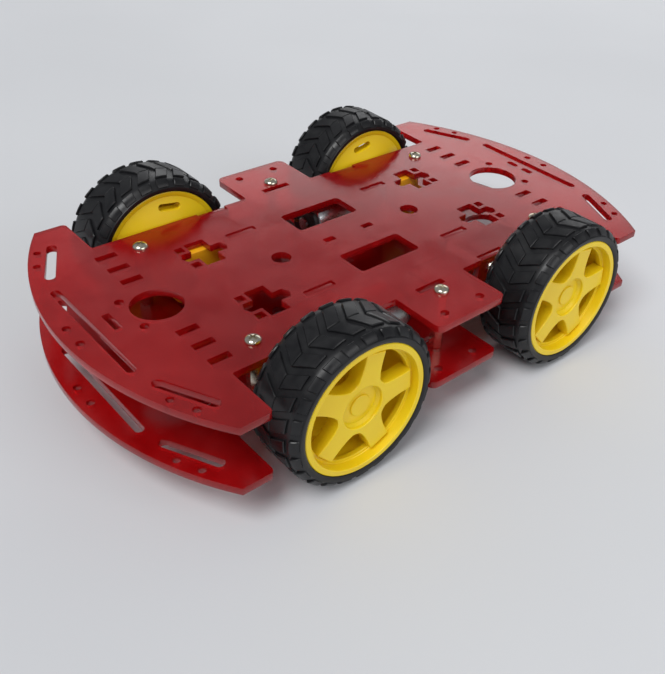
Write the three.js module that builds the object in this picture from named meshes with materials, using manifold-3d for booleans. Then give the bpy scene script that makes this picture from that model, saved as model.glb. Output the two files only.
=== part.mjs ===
// Four-wheel-drive robot car chassis: two laser-cut acrylic plates held apart by six hex standoffs,
// with a yellow plastic gear motor and a rubber-tyred wheel at each corner.
//
// Units are millimetres. +X is the front of the car, +Y its left side, +Z up.
// The origin is on the floor, midway between the four wheels.

import * as THREE from "three";
import { mergeVertices } from "three/addons/utils/BufferGeometryUtils.js";
import Module from "manifold-3d";

const wasm = await Module();
wasm.setup();

// ---------------------------------------------------------------- driving dimensions

const PLATE_LENGTH = 256;
const PLATE_WIDTH = 148;
const PLATE_THICKNESS = 3;
const PLATE_GAP = 23.5; // between the two plates, the height of a standoff
const END_CORNER_X = 105; // where each curved end meets its straight side
const NOTCH_START_X = 18.2; // half the length of the middle tab
const NOTCH_END_X = 92;
const NOTCH_Y = 50; // the plate is this wide on each side of its centre line at a wheel

const WHEEL_X = 57.3; // axle, fore and aft of the middle
const WHEEL_RADIUS = 32.5;
const WHEEL_WIDTH = 26.5;
const WHEEL_Y = 67.2; // middle of a wheel

const MOTOR_THICKNESS = 18.8;
const MOTOR_HEIGHT = 22.5;
const MOTOR_Y = 37.6; // middle of a gear motor
const BRACKET_BACK = 20.5; // from the axle back to the bracket and its screws
const SCREW_SPACING = 17.5; // between the two screws of one motor

const STANDOFF_FLATS = 5;
const CORNER_POST = { x: 76.3, y: 39.5 };
const MIDDLE_POST_Y = 56.5;

const AXLE_Z = WHEEL_RADIUS;
const GAP_BOTTOM_Z = AXLE_Z - PLATE_GAP / 2;
const GAP_TOP_Z = AXLE_Z + PLATE_GAP / 2;
const FIT = 0.05; // small gap between pieces that touch
const RUNNING_GAP = 0.1;

// ---------------------------------------------------------------- colours and finishes

const FINISHES = {
  redAcrylic: { color: 0x8e1c24, roughness: 0.2, metalness: 0 },
  yellowNylon: { color: 0xf2b705, roughness: 0.45, metalness: 0 },
  wheelYellow: { color: 0xffd21a, roughness: 0.35, metalness: 0 },
  blackRubber: { color: 0x1c1d1f, roughness: 0.75, metalness: 0 },
  motorSteel: { color: 0x8b8d90, roughness: 0.35, metalness: 1 },
  whiteNylon: { color: 0xe8e6df, roughness: 0.5, metalness: 0 },
  nickel: { color: 0xd9cfb8, roughness: 0.22, metalness: 1 },
};

// ---------------------------------------------------------------- solids

// A closed geometry as a manifold-3d solid.
function solid(geometry) {
  const bare = geometry.index ? geometry.toNonIndexed() : geometry.clone();
  bare.deleteAttribute("normal");
  bare.deleteAttribute("uv");
  const merged = mergeVertices(bare, 1e-4);
  return new wasm.Manifold(
    new wasm.Mesh({
      numProp: 3,
      vertProperties: merged.attributes.position.array,
      triVerts: new Uint32Array(merged.index.array),
    }),
  );
}

function geometryOf(shape) {
  const { vertProperties, triVerts, numProp, numVert } = shape.getMesh();
  const positions = new Float32Array(numVert * 3);
  for (let i = 0; i < numVert; i++) {
    positions.set(vertProperties.subarray(i * numProp, i * numProp + 3), i * 3);
  }
  const geometry = new THREE.BufferGeometry();
  geometry.setAttribute("position", new THREE.BufferAttribute(positions, 3));
  geometry.setIndex(new THREE.BufferAttribute(new Uint32Array(triVerts), 1));
  return geometry;
}

function mesh(name, shape, finish) {
  const geometry = geometryOf(shape);
  geometry.computeVertexNormals();
  const piece = new THREE.Mesh(geometry, new THREE.MeshStandardMaterial(FINISHES[finish]));
  piece.name = name;
  return piece;
}

function extrudeUp(outline, bottom, top) {
  const geometry = new THREE.ExtrudeGeometry(outline, { depth: top - bottom, bevelEnabled: false });
  return solid(geometry.translate(0, 0, bottom));
}

// An outline drawn in X and Z, pushed along Y from near to far.
function extrudeAlongY(outline, near, far) {
  const geometry = new THREE.ExtrudeGeometry(outline, { depth: far - near, bevelEnabled: false });
  return solid(geometry.rotateX(Math.PI / 2).translate(0, far, 0));
}

// A profile of [radius, y] points turned about the Y axis. The first edge can start half a step round.
function turned(profile, sides, steps = 0) {
  const points = profile.map(([r, y]) => new THREE.Vector2(r, y));
  return solid(new THREE.LatheGeometry(points, sides).rotateY((2 * Math.PI * steps) / sides));
}

// ---------------------------------------------------------------- outlines

// Corner points for a closed outline, where each corner is { x, y, r } and r rounds it.
function roundedPoints(corners, steps = 2) {
  return corners.flatMap((corner, i) => {
    const here = new THREE.Vector2(corner.x, corner.y);
    if (!corner.r) return [here];
    const before = corners[(i + corners.length - 1) % corners.length];
    const after = corners[(i + 1) % corners.length];
    const back = new THREE.Vector2(before.x, before.y).sub(here).normalize();
    const ahead = new THREE.Vector2(after.x, after.y).sub(here).normalize();
    const halfAngle = back.angleTo(ahead) / 2;
    const middle = back.clone().add(ahead).normalize();
    const centre = here.clone().addScaledVector(middle, corner.r / Math.sin(halfAngle));
    const start = here.clone().addScaledVector(back, corner.r / Math.tan(halfAngle)).sub(centre);
    const end = here.clone().addScaledVector(ahead, corner.r / Math.tan(halfAngle)).sub(centre);
    const turn = Math.atan2(start.cross(end), start.dot(end));
    return Array.from({ length: steps + 1 }, (_, k) =>
      start.clone().rotateAround(new THREE.Vector2(), (turn * k) / steps).add(centre),
    );
  });
}

function circlePoints(x, y, radius, sides) {
  return Array.from({ length: sides }, (_, k) => {
    const angle = (2 * Math.PI * (k + 0.5)) / sides;
    return new THREE.Vector2(x + radius * Math.cos(angle), y + radius * Math.sin(angle));
  });
}

// A slot with half-round ends; angle turns its long side away from X.
function slotPoints(x, y, length, width, angle = 0, sides = 3) {
  const radius = width / 2;
  const reach = length / 2 - radius;
  const points = [];
  for (const end of [1, -1]) {
    for (let k = 0; k <= sides; k++) {
      const turn = Math.PI * (k / sides - 0.5) + (end > 0 ? 0 : Math.PI);
      points.push(new THREE.Vector2(end * reach + radius * Math.cos(turn), radius * Math.sin(turn)));
    }
  }
  return points.map((p) => p.rotateAround(new THREE.Vector2(), angle).add(new THREE.Vector2(x, y)));
}

function boxPoints(x, y, width, height, r = 0) {
  return roundedPoints([
    { x: x - width / 2, y: y - height / 2, r },
    { x: x + width / 2, y: y - height / 2, r },
    { x: x + width / 2, y: y + height / 2, r },
    { x: x - width / 2, y: y + height / 2, r },
  ]);
}

// ---------------------------------------------------------------- plates

const BRACKET_X = WHEEL_X - BRACKET_BACK;
const BRACKET_THICKNESS = 3;
const BRACKET_OUTER_Y = MOTOR_Y + MOTOR_THICKNESS / 2 + BRACKET_THICKNESS / 2;
const BRACKET_INNER_Y = MOTOR_Y - MOTOR_THICKNESS / 2 - BRACKET_THICKNESS / 2;
const TAB_LENGTH = 13.6;
const TAB_SLOT = { length: TAB_LENGTH + 0.4, width: BRACKET_THICKNESS + 0.2 };

const END_RISE = PLATE_LENGTH / 2 - END_CORNER_X;
const END_RADIUS = ((PLATE_WIDTH / 2) ** 2 + END_RISE ** 2) / (2 * END_RISE);
const END_STEPS = 14;

// The curved front end, from the right corner round to the left one.
function endArc() {
  const centreX = PLATE_LENGTH / 2 - END_RADIUS;
  const halfAngle = Math.asin(PLATE_WIDTH / 2 / END_RADIUS);
  return Array.from({ length: END_STEPS + 1 }, (_, k) => {
    const angle = halfAngle * ((2 * k) / END_STEPS - 1);
    return { x: centreX + END_RADIUS * Math.cos(angle), y: END_RADIUS * Math.sin(angle) };
  });
}

// The front-left quarter, from the end's corner back to the middle tab.
function sideCorners() {
  const slotFront = BRACKET_X + TAB_SLOT.length / 2;
  const slotBack = BRACKET_X - TAB_SLOT.length / 2;
  const slotFloor = BRACKET_OUTER_Y - TAB_SLOT.width / 2;
  return [
    { x: NOTCH_END_X, y: PLATE_WIDTH / 2, r: 2 },
    { x: NOTCH_END_X, y: NOTCH_Y, r: 1 },
    { x: slotFront, y: NOTCH_Y },
    { x: slotFront, y: slotFloor },
    { x: slotBack, y: slotFloor },
    { x: slotBack, y: NOTCH_Y },
    { x: NOTCH_START_X, y: NOTCH_Y, r: 1 },
    { x: NOTCH_START_X, y: PLATE_WIDTH / 2, r: 3 },
  ];
}

function plateOutline() {
  const mirrored = (list, sx, sy) => list.map((p) => ({ ...p, x: sx * p.x, y: sy * p.y }));
  const front = endArc();
  const side = sideCorners();
  const corners = [
    ...front,
    ...side,
    ...mirrored(side, -1, 1).reverse(),
    ...mirrored(front, -1, -1),
    ...mirrored(side, -1, -1),
    ...mirrored(side, 1, -1).reverse(),
  ];
  return new THREE.Shape(roundedPoints(corners));
}

const SCREW_HOLE_RADIUS = 1.7;
const HOLE_SIDES = 8;

// Cut-outs on the centre line.
const FRONT_CIRCLE = { x: 91.3, r: 10, sides: 24 };
const REAR_CIRCLE = { x: -91.3, r: 11.4, sides: 24 };
const FRONT_SLIT = { x: 109.2, width: 3, height: 10.5 };
const REAR_SLIT = { x: -111.3, y: 4.7, length: 6.2, width: 3 };
const LONG_SLOT = { x: 117, length: 60, width: 3.6 };
const CENTRE_HOLE = { x: 35.3, r: 4.1, sides: 12 };
const CENTRE_BOX = { x: 10.3, width: 5.4, height: 3 };

// Cut-outs on both sides of the centre line.
const WINDOW = { y: 20.2, width: 31.5, height: 15, r: 1.5 };
const MIDDLE_SLOT = { x: 1, y: 51.3, width: 14, height: 3 };

// Cut-outs that come once in each quarter of the plate.
const CORNER_SLOT = { x: 109.1, y: 49.5, length: 25.7, width: 4, angle: THREE.MathUtils.degToRad(64) };
const ROW_SLOT = { x: 90.6, width: 8.6, height: 3.4, rows: [20.2, 30.4, 40.6] };
const ENCODER_CROSS = { x: 57.6, y: 21.6, armX: 4.4, armY: 9.2, barX: 10.4, barY: 3, tip: 1.4 };
const ENCODER_SQUARE = { x: ENCODER_CROSS.x + 7.6, y: 6.6, size: 3.6 };
const SMALL_HOLES = [
  { x: 110.6, y: 58.5, r: 1.5 },
  { x: 114.8, y: 49.3, r: 1.5 },
  { x: 123.6, y: 5.3, r: 1.6 },
  { x: 9.6, y: 68, r: 1.8 },
  { x: CORNER_POST.x, y: CORNER_POST.y, r: SCREW_HOLE_RADIUS },
];
const FRONT_HOLE = { x: 101.5, y: 9.3, r: 1.8 };
const REAR_HOLE = { x: -101.5, y: 11.9, r: 1.8 };

// An encoder opening: a wide arm across the car and a narrow one along it with pointed ends.
function crossPoints(sx, sy) {
  const { x: centreX, y: centreY, armX, armY, barX, barY, tip } = ENCODER_CROSS;
  const quarter = [
    [barX, 0],
    [barX - tip, barY],
    [armX, barY],
    [armX, armY],
  ];
  const points = [];
  for (const [qx, qy] of [[1, 1], [-1, 1], [-1, -1], [1, -1]]) {
    const part = qx === qy ? quarter : [...quarter].reverse();
    points.push(...part.map(([x, y]) => new THREE.Vector2(qx * x, qy * y)));
  }
  const unique = points.filter((p, i) => !p.equals(points[(i + 1) % points.length]));
  return unique.map((p) => new THREE.Vector2(sx * (centreX + p.x), sy * centreY + p.y));
}

function centreLineHoles() {
  const holes = [
    circlePoints(FRONT_CIRCLE.x, 0, FRONT_CIRCLE.r, FRONT_CIRCLE.sides),
    circlePoints(REAR_CIRCLE.x, 0, REAR_CIRCLE.r, REAR_CIRCLE.sides),
    boxPoints(FRONT_SLIT.x, 0, FRONT_SLIT.width, FRONT_SLIT.height),
  ];
  for (const sx of [1, -1]) {
    holes.push(slotPoints(sx * LONG_SLOT.x, 0, LONG_SLOT.length, LONG_SLOT.width, Math.PI / 2));
    holes.push(circlePoints(sx * CENTRE_HOLE.x, 0, CENTRE_HOLE.r, CENTRE_HOLE.sides));
    holes.push(boxPoints(sx * CENTRE_BOX.x, 0, CENTRE_BOX.width, CENTRE_BOX.height));
  }
  return holes;
}

function sideHoles(sy) {
  return [
    slotPoints(REAR_SLIT.x, sy * REAR_SLIT.y, REAR_SLIT.length, REAR_SLIT.width, Math.PI / 2),
    circlePoints(FRONT_HOLE.x, sy * FRONT_HOLE.y, FRONT_HOLE.r, HOLE_SIDES),
    circlePoints(REAR_HOLE.x, sy * REAR_HOLE.y, REAR_HOLE.r, HOLE_SIDES),
    circlePoints(0, sy * MIDDLE_POST_Y, SCREW_HOLE_RADIUS, HOLE_SIDES),
    boxPoints(0, sy * WINDOW.y, WINDOW.width, WINDOW.height, WINDOW.r),
    boxPoints(MIDDLE_SLOT.x, sy * MIDDLE_SLOT.y, MIDDLE_SLOT.width, MIDDLE_SLOT.height),
  ];
}

function quarterHoles(sx, sy) {
  const { x, y, length, width, angle } = CORNER_SLOT;
  const holes = [
    slotPoints(sx * x, sy * y, length, width, -sx * sy * angle),
    boxPoints(sx * BRACKET_X, sy * BRACKET_INNER_Y, TAB_SLOT.length, TAB_SLOT.width),
    crossPoints(sx, sy),
  ];
  for (const side of [1, -1]) {
    const across = sy * ENCODER_CROSS.y + side * ENCODER_SQUARE.y;
    holes.push(boxPoints(sx * ENCODER_SQUARE.x, across, ENCODER_SQUARE.size, ENCODER_SQUARE.size));
  }
  for (const row of ROW_SLOT.rows) {
    holes.push(boxPoints(sx * ROW_SLOT.x, sy * row, ROW_SLOT.width, ROW_SLOT.height));
  }
  for (const hole of SMALL_HOLES) {
    holes.push(circlePoints(sx * hole.x, sy * hole.y, hole.r, HOLE_SIDES));
  }
  return holes;
}

function plateHoles() {
  const holes = [...centreLineHoles(), ...sideHoles(1), ...sideHoles(-1)];
  for (const sx of [1, -1]) {
    for (const sy of [1, -1]) holes.push(...quarterHoles(sx, sy));
  }
  return holes;
}

function plate(bottom) {
  const top = bottom + PLATE_THICKNESS;
  return plateHoles().reduce(
    (sheet, points) => sheet.subtract(extrudeUp(new THREE.Shape(points), bottom - 1, top + 1)),
    extrudeUp(plateOutline(), bottom, top),
  );
}

// ---------------------------------------------------------------- standoffs and plate screws

const SHANK_RADIUS = 1.45;
const SCREW_SIDES = 8;
const HEAD_HEIGHT = 2;

// A pan-head screw about the Y axis: its head sits on y = 0 and its shank runs down from there.
function panHead(shankLength) {
  const profile = [
    [0, -shankLength],
    [SHANK_RADIUS, -shankLength],
    [SHANK_RADIUS, 0],
    [2.8, 0],
    [2.8, 0.9],
    [2.1, 1.75],
    [0, HEAD_HEIGHT],
  ];
  return turned(profile, SCREW_SIDES);
}

// A hexagon with two of its flats square to the outline's second axis.
function hexPoints(flats) {
  const turn = Math.PI / 6;
  return circlePoints(0, 0, flats / Math.sqrt(3), 6).map((p) => p.rotateAround(new THREE.Vector2(), turn));
}

function standoff() {
  const outline = new THREE.Shape(hexPoints(STANDOFF_FLATS));
  outline.holes = [new THREE.Path(circlePoints(0, 0, SHANK_RADIUS + 0.15, SCREW_SIDES))];
  return extrudeUp(outline, GAP_BOTTOM_Z + FIT, GAP_TOP_Z - FIT);
}

const POSTS = [
  { name: "front_left", x: CORNER_POST.x, y: CORNER_POST.y },
  { name: "front_right", x: CORNER_POST.x, y: -CORNER_POST.y },
  { name: "middle_left", x: 0, y: MIDDLE_POST_Y },
  { name: "middle_right", x: 0, y: -MIDDLE_POST_Y },
  { name: "rear_left", x: -CORNER_POST.x, y: CORNER_POST.y },
  { name: "rear_right", x: -CORNER_POST.x, y: -CORNER_POST.y },
];

// One standoff with the screw down into its top and the screw up into its foot.
function post({ name, x, y }) {
  const group = new THREE.Group();
  group.position.set(x, y, 0);
  group.add(mesh(`standoff_${name}`, standoff(), "nickel"));
  const top = mesh(`top_screw_${name}`, panHead(8), "nickel");
  top.rotation.x = Math.PI / 2;
  top.position.z = GAP_TOP_Z + PLATE_THICKNESS + FIT;
  const bottom = mesh(`bottom_screw_${name}`, panHead(8), "nickel");
  bottom.rotation.x = -Math.PI / 2;
  bottom.position.z = GAP_BOTTOM_Z - PLATE_THICKNESS - FIT;
  group.add(top, bottom);
  return group;
}

// ---------------------------------------------------------------- gear motor
// Each corner of the car is drawn in its own frame: the origin is on the axle at the middle of the
// motor, +X points away from the middle of the car and +Y points out through the wheel.

const HALF_THICKNESS = MOTOR_THICKNESS / 2;
const HALF_HEIGHT = MOTOR_HEIGHT / 2;
const GEARBOX_FRONT = 11.5;
const GEARBOX_BACK = -25.5;
const LUG_LENGTH = 4;
const SHAFT_RADIUS = 2.7;
const SHAFT_FLAT = 1.85; // half the thickness across the shaft's two flats
const SHAFT_OUT = 9; // how far the shaft stands out of each face of the gearbox
const SHAFT_SIDES = 14;
const GEAR_TEETH = 14;
const GEAR_TIP = 9;
const GEAR_ROOT = 7.8;

// One tooth's corners: how far round from its middle, in teeth, and the radius there.
const TOOTH = [
  [-0.35, GEAR_ROOT],
  [-0.16, GEAR_TIP],
  [0.16, GEAR_TIP],
  [0.35, GEAR_ROOT],
];

function gearboxOutline() {
  const corners = [
    { x: GEARBOX_BACK, y: -HALF_HEIGHT, r: 1 },
    { x: GEARBOX_FRONT, y: -HALF_HEIGHT, r: 5 },
    { x: GEARBOX_FRONT, y: -4 },
    { x: GEARBOX_FRONT + LUG_LENGTH, y: -4, r: 2 },
    { x: GEARBOX_FRONT + LUG_LENGTH, y: 4, r: 2 },
    { x: GEARBOX_FRONT, y: 4 },
    { x: GEARBOX_FRONT, y: HALF_HEIGHT, r: 5 },
    { x: GEARBOX_BACK, y: HALF_HEIGHT, r: 1 },
  ];
  const outline = new THREE.Shape(roundedPoints(corners));
  outline.holes = [
    circlePoints(0, 0, SHAFT_RADIUS + 0.18, SHAFT_SIDES),
    circlePoints(GEARBOX_FRONT + 2, 0, 1.2, HOLE_SIDES),
    circlePoints(-BRACKET_BACK, SCREW_SPACING / 2, SCREW_HOLE_RADIUS, HOLE_SIDES),
    circlePoints(-BRACKET_BACK, -SCREW_SPACING / 2, SCREW_HOLE_RADIUS, HOLE_SIDES),
  ].map((points) => new THREE.Path(points));
  return outline;
}

// One half of the housing: a tray whose floor is the gearbox's face at +Y or -Y.
function gearboxHalf(side) {
  const wall = 1.7;
  const cavityBack = -15;
  const cavityFront = GEARBOX_FRONT - wall;
  const cavity = new THREE.Shape(
    boxPoints((cavityBack + cavityFront) / 2, 0, cavityFront - cavityBack, MOTOR_HEIGHT - 2 * wall, 3.5),
  );
  const floor = HALF_THICKNESS - 2;
  if (side > 0) {
    return extrudeAlongY(gearboxOutline(), FIT, HALF_THICKNESS).subtract(
      extrudeAlongY(cavity, -1, floor),
    );
  }
  return extrudeAlongY(gearboxOutline(), -HALF_THICKNESS, 0).subtract(
    extrudeAlongY(cavity, -floor, 1),
  );
}

// The can is a drum flattened on two sides, with the end cap and rear bearing at its back.
function motorCan() {
  const radius = 10;
  const flat = 7.5;
  const length = 26.5;
  const middle = GEARBOX_BACK - FIT - length / 2;
  const drum = new THREE.CylinderGeometry(radius, radius, length, 20).rotateZ(Math.PI / 2);
  const flats = new THREE.BoxGeometry(length + 2, 2 * flat, 3 * radius);
  const bearing = new THREE.CylinderGeometry(2.6, 2.6, 4, 10).rotateZ(Math.PI / 2);
  return solid(drum.translate(middle, 0, 0))
    .intersect(solid(flats.translate(middle, 0, 0)))
    .add(solid(bearing.translate(middle - length / 2, 0, 0)));
}

// The last gear of the train and the double-flatted shaft moulded with it.
function outputGear() {
  const teeth = [];
  for (let k = 0; k < GEAR_TEETH; k++) {
    for (const [part, radius] of TOOTH) {
      const angle = (2 * Math.PI * (k + part)) / GEAR_TEETH;
      teeth.push(new THREE.Vector2(radius * Math.cos(angle), radius * Math.sin(angle)));
    }
  }
  const reach = HALF_THICKNESS + SHAFT_OUT;
  const round = extrudeAlongY(new THREE.Shape(circlePoints(0, 0, SHAFT_RADIUS, SHAFT_SIDES)), -reach, reach);
  const flats = solid(new THREE.BoxGeometry(3 * SHAFT_RADIUS, 2 * reach + 2, 2 * SHAFT_FLAT));
  const middle = solid(new THREE.BoxGeometry(3 * SHAFT_RADIUS, MOTOR_THICKNESS, 3 * SHAFT_RADIUS));
  return round.intersect(flats.add(middle)).add(extrudeAlongY(new THREE.Shape(teeth), -2, 2));
}

// ---------------------------------------------------------------- motor brackets and their screws

function bracket() {
  const shoulder = 7.7;
  const tab = TAB_LENGTH / 2;
  const bodyTop = PLATE_GAP / 2 - FIT;
  const tabTop = PLATE_GAP / 2 + PLATE_THICKNESS - 0.1;
  const half = [
    { x: shoulder, y: -bodyTop },
    { x: shoulder, y: bodyTop },
    { x: tab, y: bodyTop },
    { x: tab, y: tabTop },
  ];
  const corners = [...half, ...half.map((p) => ({ x: -p.x, y: p.y })).reverse()];
  corners.push({ x: -tab, y: -bodyTop }, { x: -tab, y: -tabTop });
  corners.push({ x: tab, y: -tabTop }, { x: tab, y: -bodyTop });
  const outline = new THREE.Shape(corners.map((p) => new THREE.Vector2(p.x, p.y)));
  outline.holes = [1, -1].map(
    (sz) => new THREE.Path(circlePoints(0, (sz * SCREW_SPACING) / 2, SCREW_HOLE_RADIUS, HOLE_SIDES)),
  );
  return extrudeAlongY(outline, -BRACKET_THICKNESS / 2 + FIT, BRACKET_THICKNESS / 2 - FIT);
}

// A long screw whose head is on the outer bracket, with its nut on the inner one.
function motorScrew() {
  const shank = 30;
  const nutHeight = 2.4;
  const clamp = MOTOR_THICKNESS + 2 * BRACKET_THICKNESS;
  const nut = extrudeAlongY(new THREE.Shape(hexPoints(5.5)), -clamp - nutHeight, -clamp);
  return panHead(shank).add(nut);
}

// ---------------------------------------------------------------- wheel
// A wheel is drawn about its own middle, with +Y towards its outer face.

const TYRE_SIDES = 30;
const RIM_SIDES = 20;
const SPOKES = 5;
const HALF_WHEEL = WHEEL_WIDTH / 2;
const RIM_SEAT = 25.8; // the tyre's seat
const RIM_LIP = 26.8;
const RIM_INSIDE = 24.2;
const SPOKE_FACE = 10.6; // outer face of the spokes
const POCKET_FLOOR = -9.5; // the pockets between the spokes are this deep
const HUB_RADIUS = 8.7;
const HUB_FOOT = 48.2 - WHEEL_Y; // inner end of the hub, just off the gearbox

function turnedRim() {
  const profile = [
    [0, HUB_FOOT],
    [5.5, HUB_FOOT],
    [5.5, HUB_FOOT + 1.5],
    [RIM_INSIDE, -12.2],
    [RIM_LIP, -12.6],
    [RIM_LIP, -11.2],
    [RIM_SEAT, -11],
    [RIM_SEAT, 11],
    [RIM_LIP, 11.2],
    [RIM_LIP, 12.8],
    [25.6, 12.8],
    [RIM_INSIDE, SPOKE_FACE],
    [HUB_RADIUS, SPOKE_FACE],
    [HUB_RADIUS - 1.6, 8.2],
    [0, 8.2],
  ];
  return turned(profile, RIM_SIDES);
}

// The space between two spokes, open to the outside, with a floor just above the wheel's back.
function pocket(turn) {
  const outline = new THREE.Shape(
    roundedPoints([
      { x: 11.2, y: 2.2 },
      { x: 11.2, y: -2.2 },
      { x: 21.2, y: -9.6 },
      { x: 23.4, y: 0 },
      { x: 21.2, y: 9.6 },
    ]),
  );
  const depth = SPOKE_FACE + 2 - POCKET_FLOOR;
  const geometry = new THREE.ExtrudeGeometry(outline, { depth, bevelEnabled: false });
  return solid(geometry.rotateX(Math.PI / 2).translate(0, SPOKE_FACE + 2, 0).rotateY(turn));
}

// The slot through the wheel's back, near its edge.
function backSlot(turn) {
  const outline = new THREE.Shape(slotPoints(20, 0, 9, 3.4, Math.PI / 2));
  const geometry = new THREE.ExtrudeGeometry(outline, { depth: 8, bevelEnabled: false });
  return solid(geometry.rotateX(Math.PI / 2).translate(0, POCKET_FLOOR + 2.5, 0).rotateY(turn));
}

// The first pocket and the slot behind it stand at this turn from the wheel's own X axis.
function rim(turn) {
  let shape = turnedRim();
  for (let k = 0; k < SPOKES; k++) shape = shape.subtract(pocket(turn + (2 * Math.PI * k) / SPOKES));
  shape = shape.subtract(backSlot(turn));
  const bore = new THREE.BoxGeometry(2 * SHAFT_RADIUS + 1.2, 16, 2 * SHAFT_FLAT + 2 * RUNNING_GAP);
  return shape.subtract(solid(bore.translate(0, HUB_FOOT + 2, 0)));
}

// The tread stands on one of its flats, so the flats are what WHEEL_RADIUS measures.
function tyre() {
  const crown = WHEEL_RADIUS / Math.cos(Math.PI / TYRE_SIDES);
  const half = [
    [RIM_SEAT + 0.3, 11],
    [RIM_LIP + 0.3, 11],
    [RIM_LIP + 0.3, 12.9],
    [29.4, HALF_WHEEL],
    [31.4, 12],
    [crown, 7],
  ];
  const profile = [...half, ...half.map(([r, y]) => [r, -y]).reverse(), half[0]];
  return turned(profile.reverse(), TYRE_SIDES, 0.5);
}

// ---------------------------------------------------------------- one corner of the car

function corner(name, sx, sy, wheelTurn) {
  const group = new THREE.Group();
  group.position.set(sx * WHEEL_X, sy * MOTOR_Y, AXLE_Z);
  // Half turns carry the front-left corner to the other three.
  if (sx > 0 && sy < 0) group.rotation.x = Math.PI;
  if (sx < 0 && sy > 0) group.rotation.y = Math.PI;
  if (sx < 0 && sy < 0) group.rotation.z = Math.PI;

  group.add(mesh(`gearbox_outer_${name}`, gearboxHalf(1), "yellowNylon"));
  group.add(mesh(`gearbox_inner_${name}`, gearboxHalf(-1), "yellowNylon"));
  group.add(mesh(`motor_${name}`, motorCan(), "motorSteel"));
  group.add(mesh(`output_gear_${name}`, outputGear(), "whiteNylon"));

  for (const [side, y] of [["outer", BRACKET_OUTER_Y], ["inner", BRACKET_INNER_Y]]) {
    const piece = mesh(`bracket_${side}_${name}`, bracket(), "redAcrylic");
    piece.position.set(-BRACKET_BACK, y - MOTOR_Y, 0);
    group.add(piece);
  }
  for (const [height, z] of [["upper", 1], ["lower", -1]]) {
    const piece = mesh(`motor_screw_${height}_${name}`, motorScrew(), "nickel");
    piece.position.set(-BRACKET_BACK, HALF_THICKNESS + BRACKET_THICKNESS, (z * SCREW_SPACING) / 2);
    group.add(piece);
  }

  const wheel = new THREE.Group();
  wheel.position.y = WHEEL_Y - MOTOR_Y;
  wheel.add(mesh(`rim_${name}`, rim(THREE.MathUtils.degToRad(wheelTurn)), "wheelYellow"));
  wheel.add(mesh(`tyre_${name}`, tyre(), "blackRubber"));
  group.add(wheel);
  return group;
}

// ---------------------------------------------------------------- the whole chassis

const group = new THREE.Group();
group.add(mesh("top_plate", plate(GAP_TOP_Z), "redAcrylic"));
group.add(mesh("bottom_plate", plate(GAP_BOTTOM_Z - PLATE_THICKNESS), "redAcrylic"));
for (const item of POSTS) group.add(post(item));
group.add(corner("front_left", 1, 1, 5.5));
group.add(corner("front_right", 1, -1, 99));
group.add(corner("rear_left", -1, 1, 42));
group.add(corner("rear_right", -1, -1, 259));

export default group;
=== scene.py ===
import math

import bmesh
import bpy
from mathutils import Matrix, Vector
from mathutils.geometry import delaunay_2d_cdt


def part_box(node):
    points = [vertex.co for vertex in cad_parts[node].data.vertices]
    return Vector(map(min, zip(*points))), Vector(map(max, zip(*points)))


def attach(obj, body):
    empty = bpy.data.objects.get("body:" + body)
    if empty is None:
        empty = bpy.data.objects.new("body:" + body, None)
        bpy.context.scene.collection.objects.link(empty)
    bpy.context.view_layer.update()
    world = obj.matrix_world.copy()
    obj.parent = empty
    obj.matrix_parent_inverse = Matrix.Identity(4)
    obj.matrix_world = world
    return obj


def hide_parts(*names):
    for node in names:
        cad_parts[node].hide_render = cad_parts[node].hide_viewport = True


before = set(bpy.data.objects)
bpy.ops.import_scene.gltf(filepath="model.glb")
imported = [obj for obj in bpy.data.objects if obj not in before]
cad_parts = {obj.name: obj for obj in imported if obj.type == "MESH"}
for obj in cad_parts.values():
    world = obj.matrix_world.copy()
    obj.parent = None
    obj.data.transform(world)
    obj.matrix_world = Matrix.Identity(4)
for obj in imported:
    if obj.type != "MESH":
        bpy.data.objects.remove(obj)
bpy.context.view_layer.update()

# Lengths are millimetres until a piece is placed, and metres from there on.
MM = 0.001
QUARTERS = [(1, 1), (-1, 1), (-1, -1), (1, -1)]

# ---------------------------------------------------------------- camera, lights and floor

CAMERA_AT = (0.2118, 0.2445, 0.2310)
CAMERA_AZIMUTH = math.radians(135.57)
CAMERA_ELEVATION = math.radians(34.91)
CAMERA_ROLL = math.radians(4.33)
SENSOR = 36
LENS = 46.9
FRAME_SHIFT = (-0.085, -0.033)


def add_camera():
    az, el = CAMERA_AZIMUTH, CAMERA_ELEVATION
    back = Vector((math.sin(az) * math.cos(el), -math.cos(az) * math.cos(el), math.sin(el)))
    right = Vector((math.cos(az), math.sin(az), 0))
    up = back.cross(right)
    rolled_right = right * math.cos(CAMERA_ROLL) + up * math.sin(CAMERA_ROLL)
    rolled_up = back.cross(rolled_right)
    data = bpy.data.cameras.new("camera")
    data.sensor_fit = "HORIZONTAL"
    data.sensor_width = SENSOR
    data.lens = LENS
    data.shift_x, data.shift_y = FRAME_SHIFT
    data.clip_start = 0.01
    camera = bpy.data.objects.new("camera", data)
    camera.matrix_world = Matrix.Translation(CAMERA_AT) @ Matrix(
        (rolled_right, rolled_up, back)
    ).transposed().to_4x4()
    bpy.context.scene.collection.objects.link(camera)
    bpy.context.scene.camera = camera


def add_light(name, at, target, size, power, colour=(1, 1, 1)):
    data = bpy.data.lights.new(name, "AREA")
    data.shape = "RECTANGLE"
    data.size, data.size_y = size
    data.energy = power
    data.color = colour
    light = bpy.data.objects.new(name, data)
    light.location = at
    light.rotation_euler = (Vector(target) - Vector(at)).to_track_quat("-Z", "Y").to_euler()
    bpy.context.scene.collection.objects.link(light)


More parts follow.
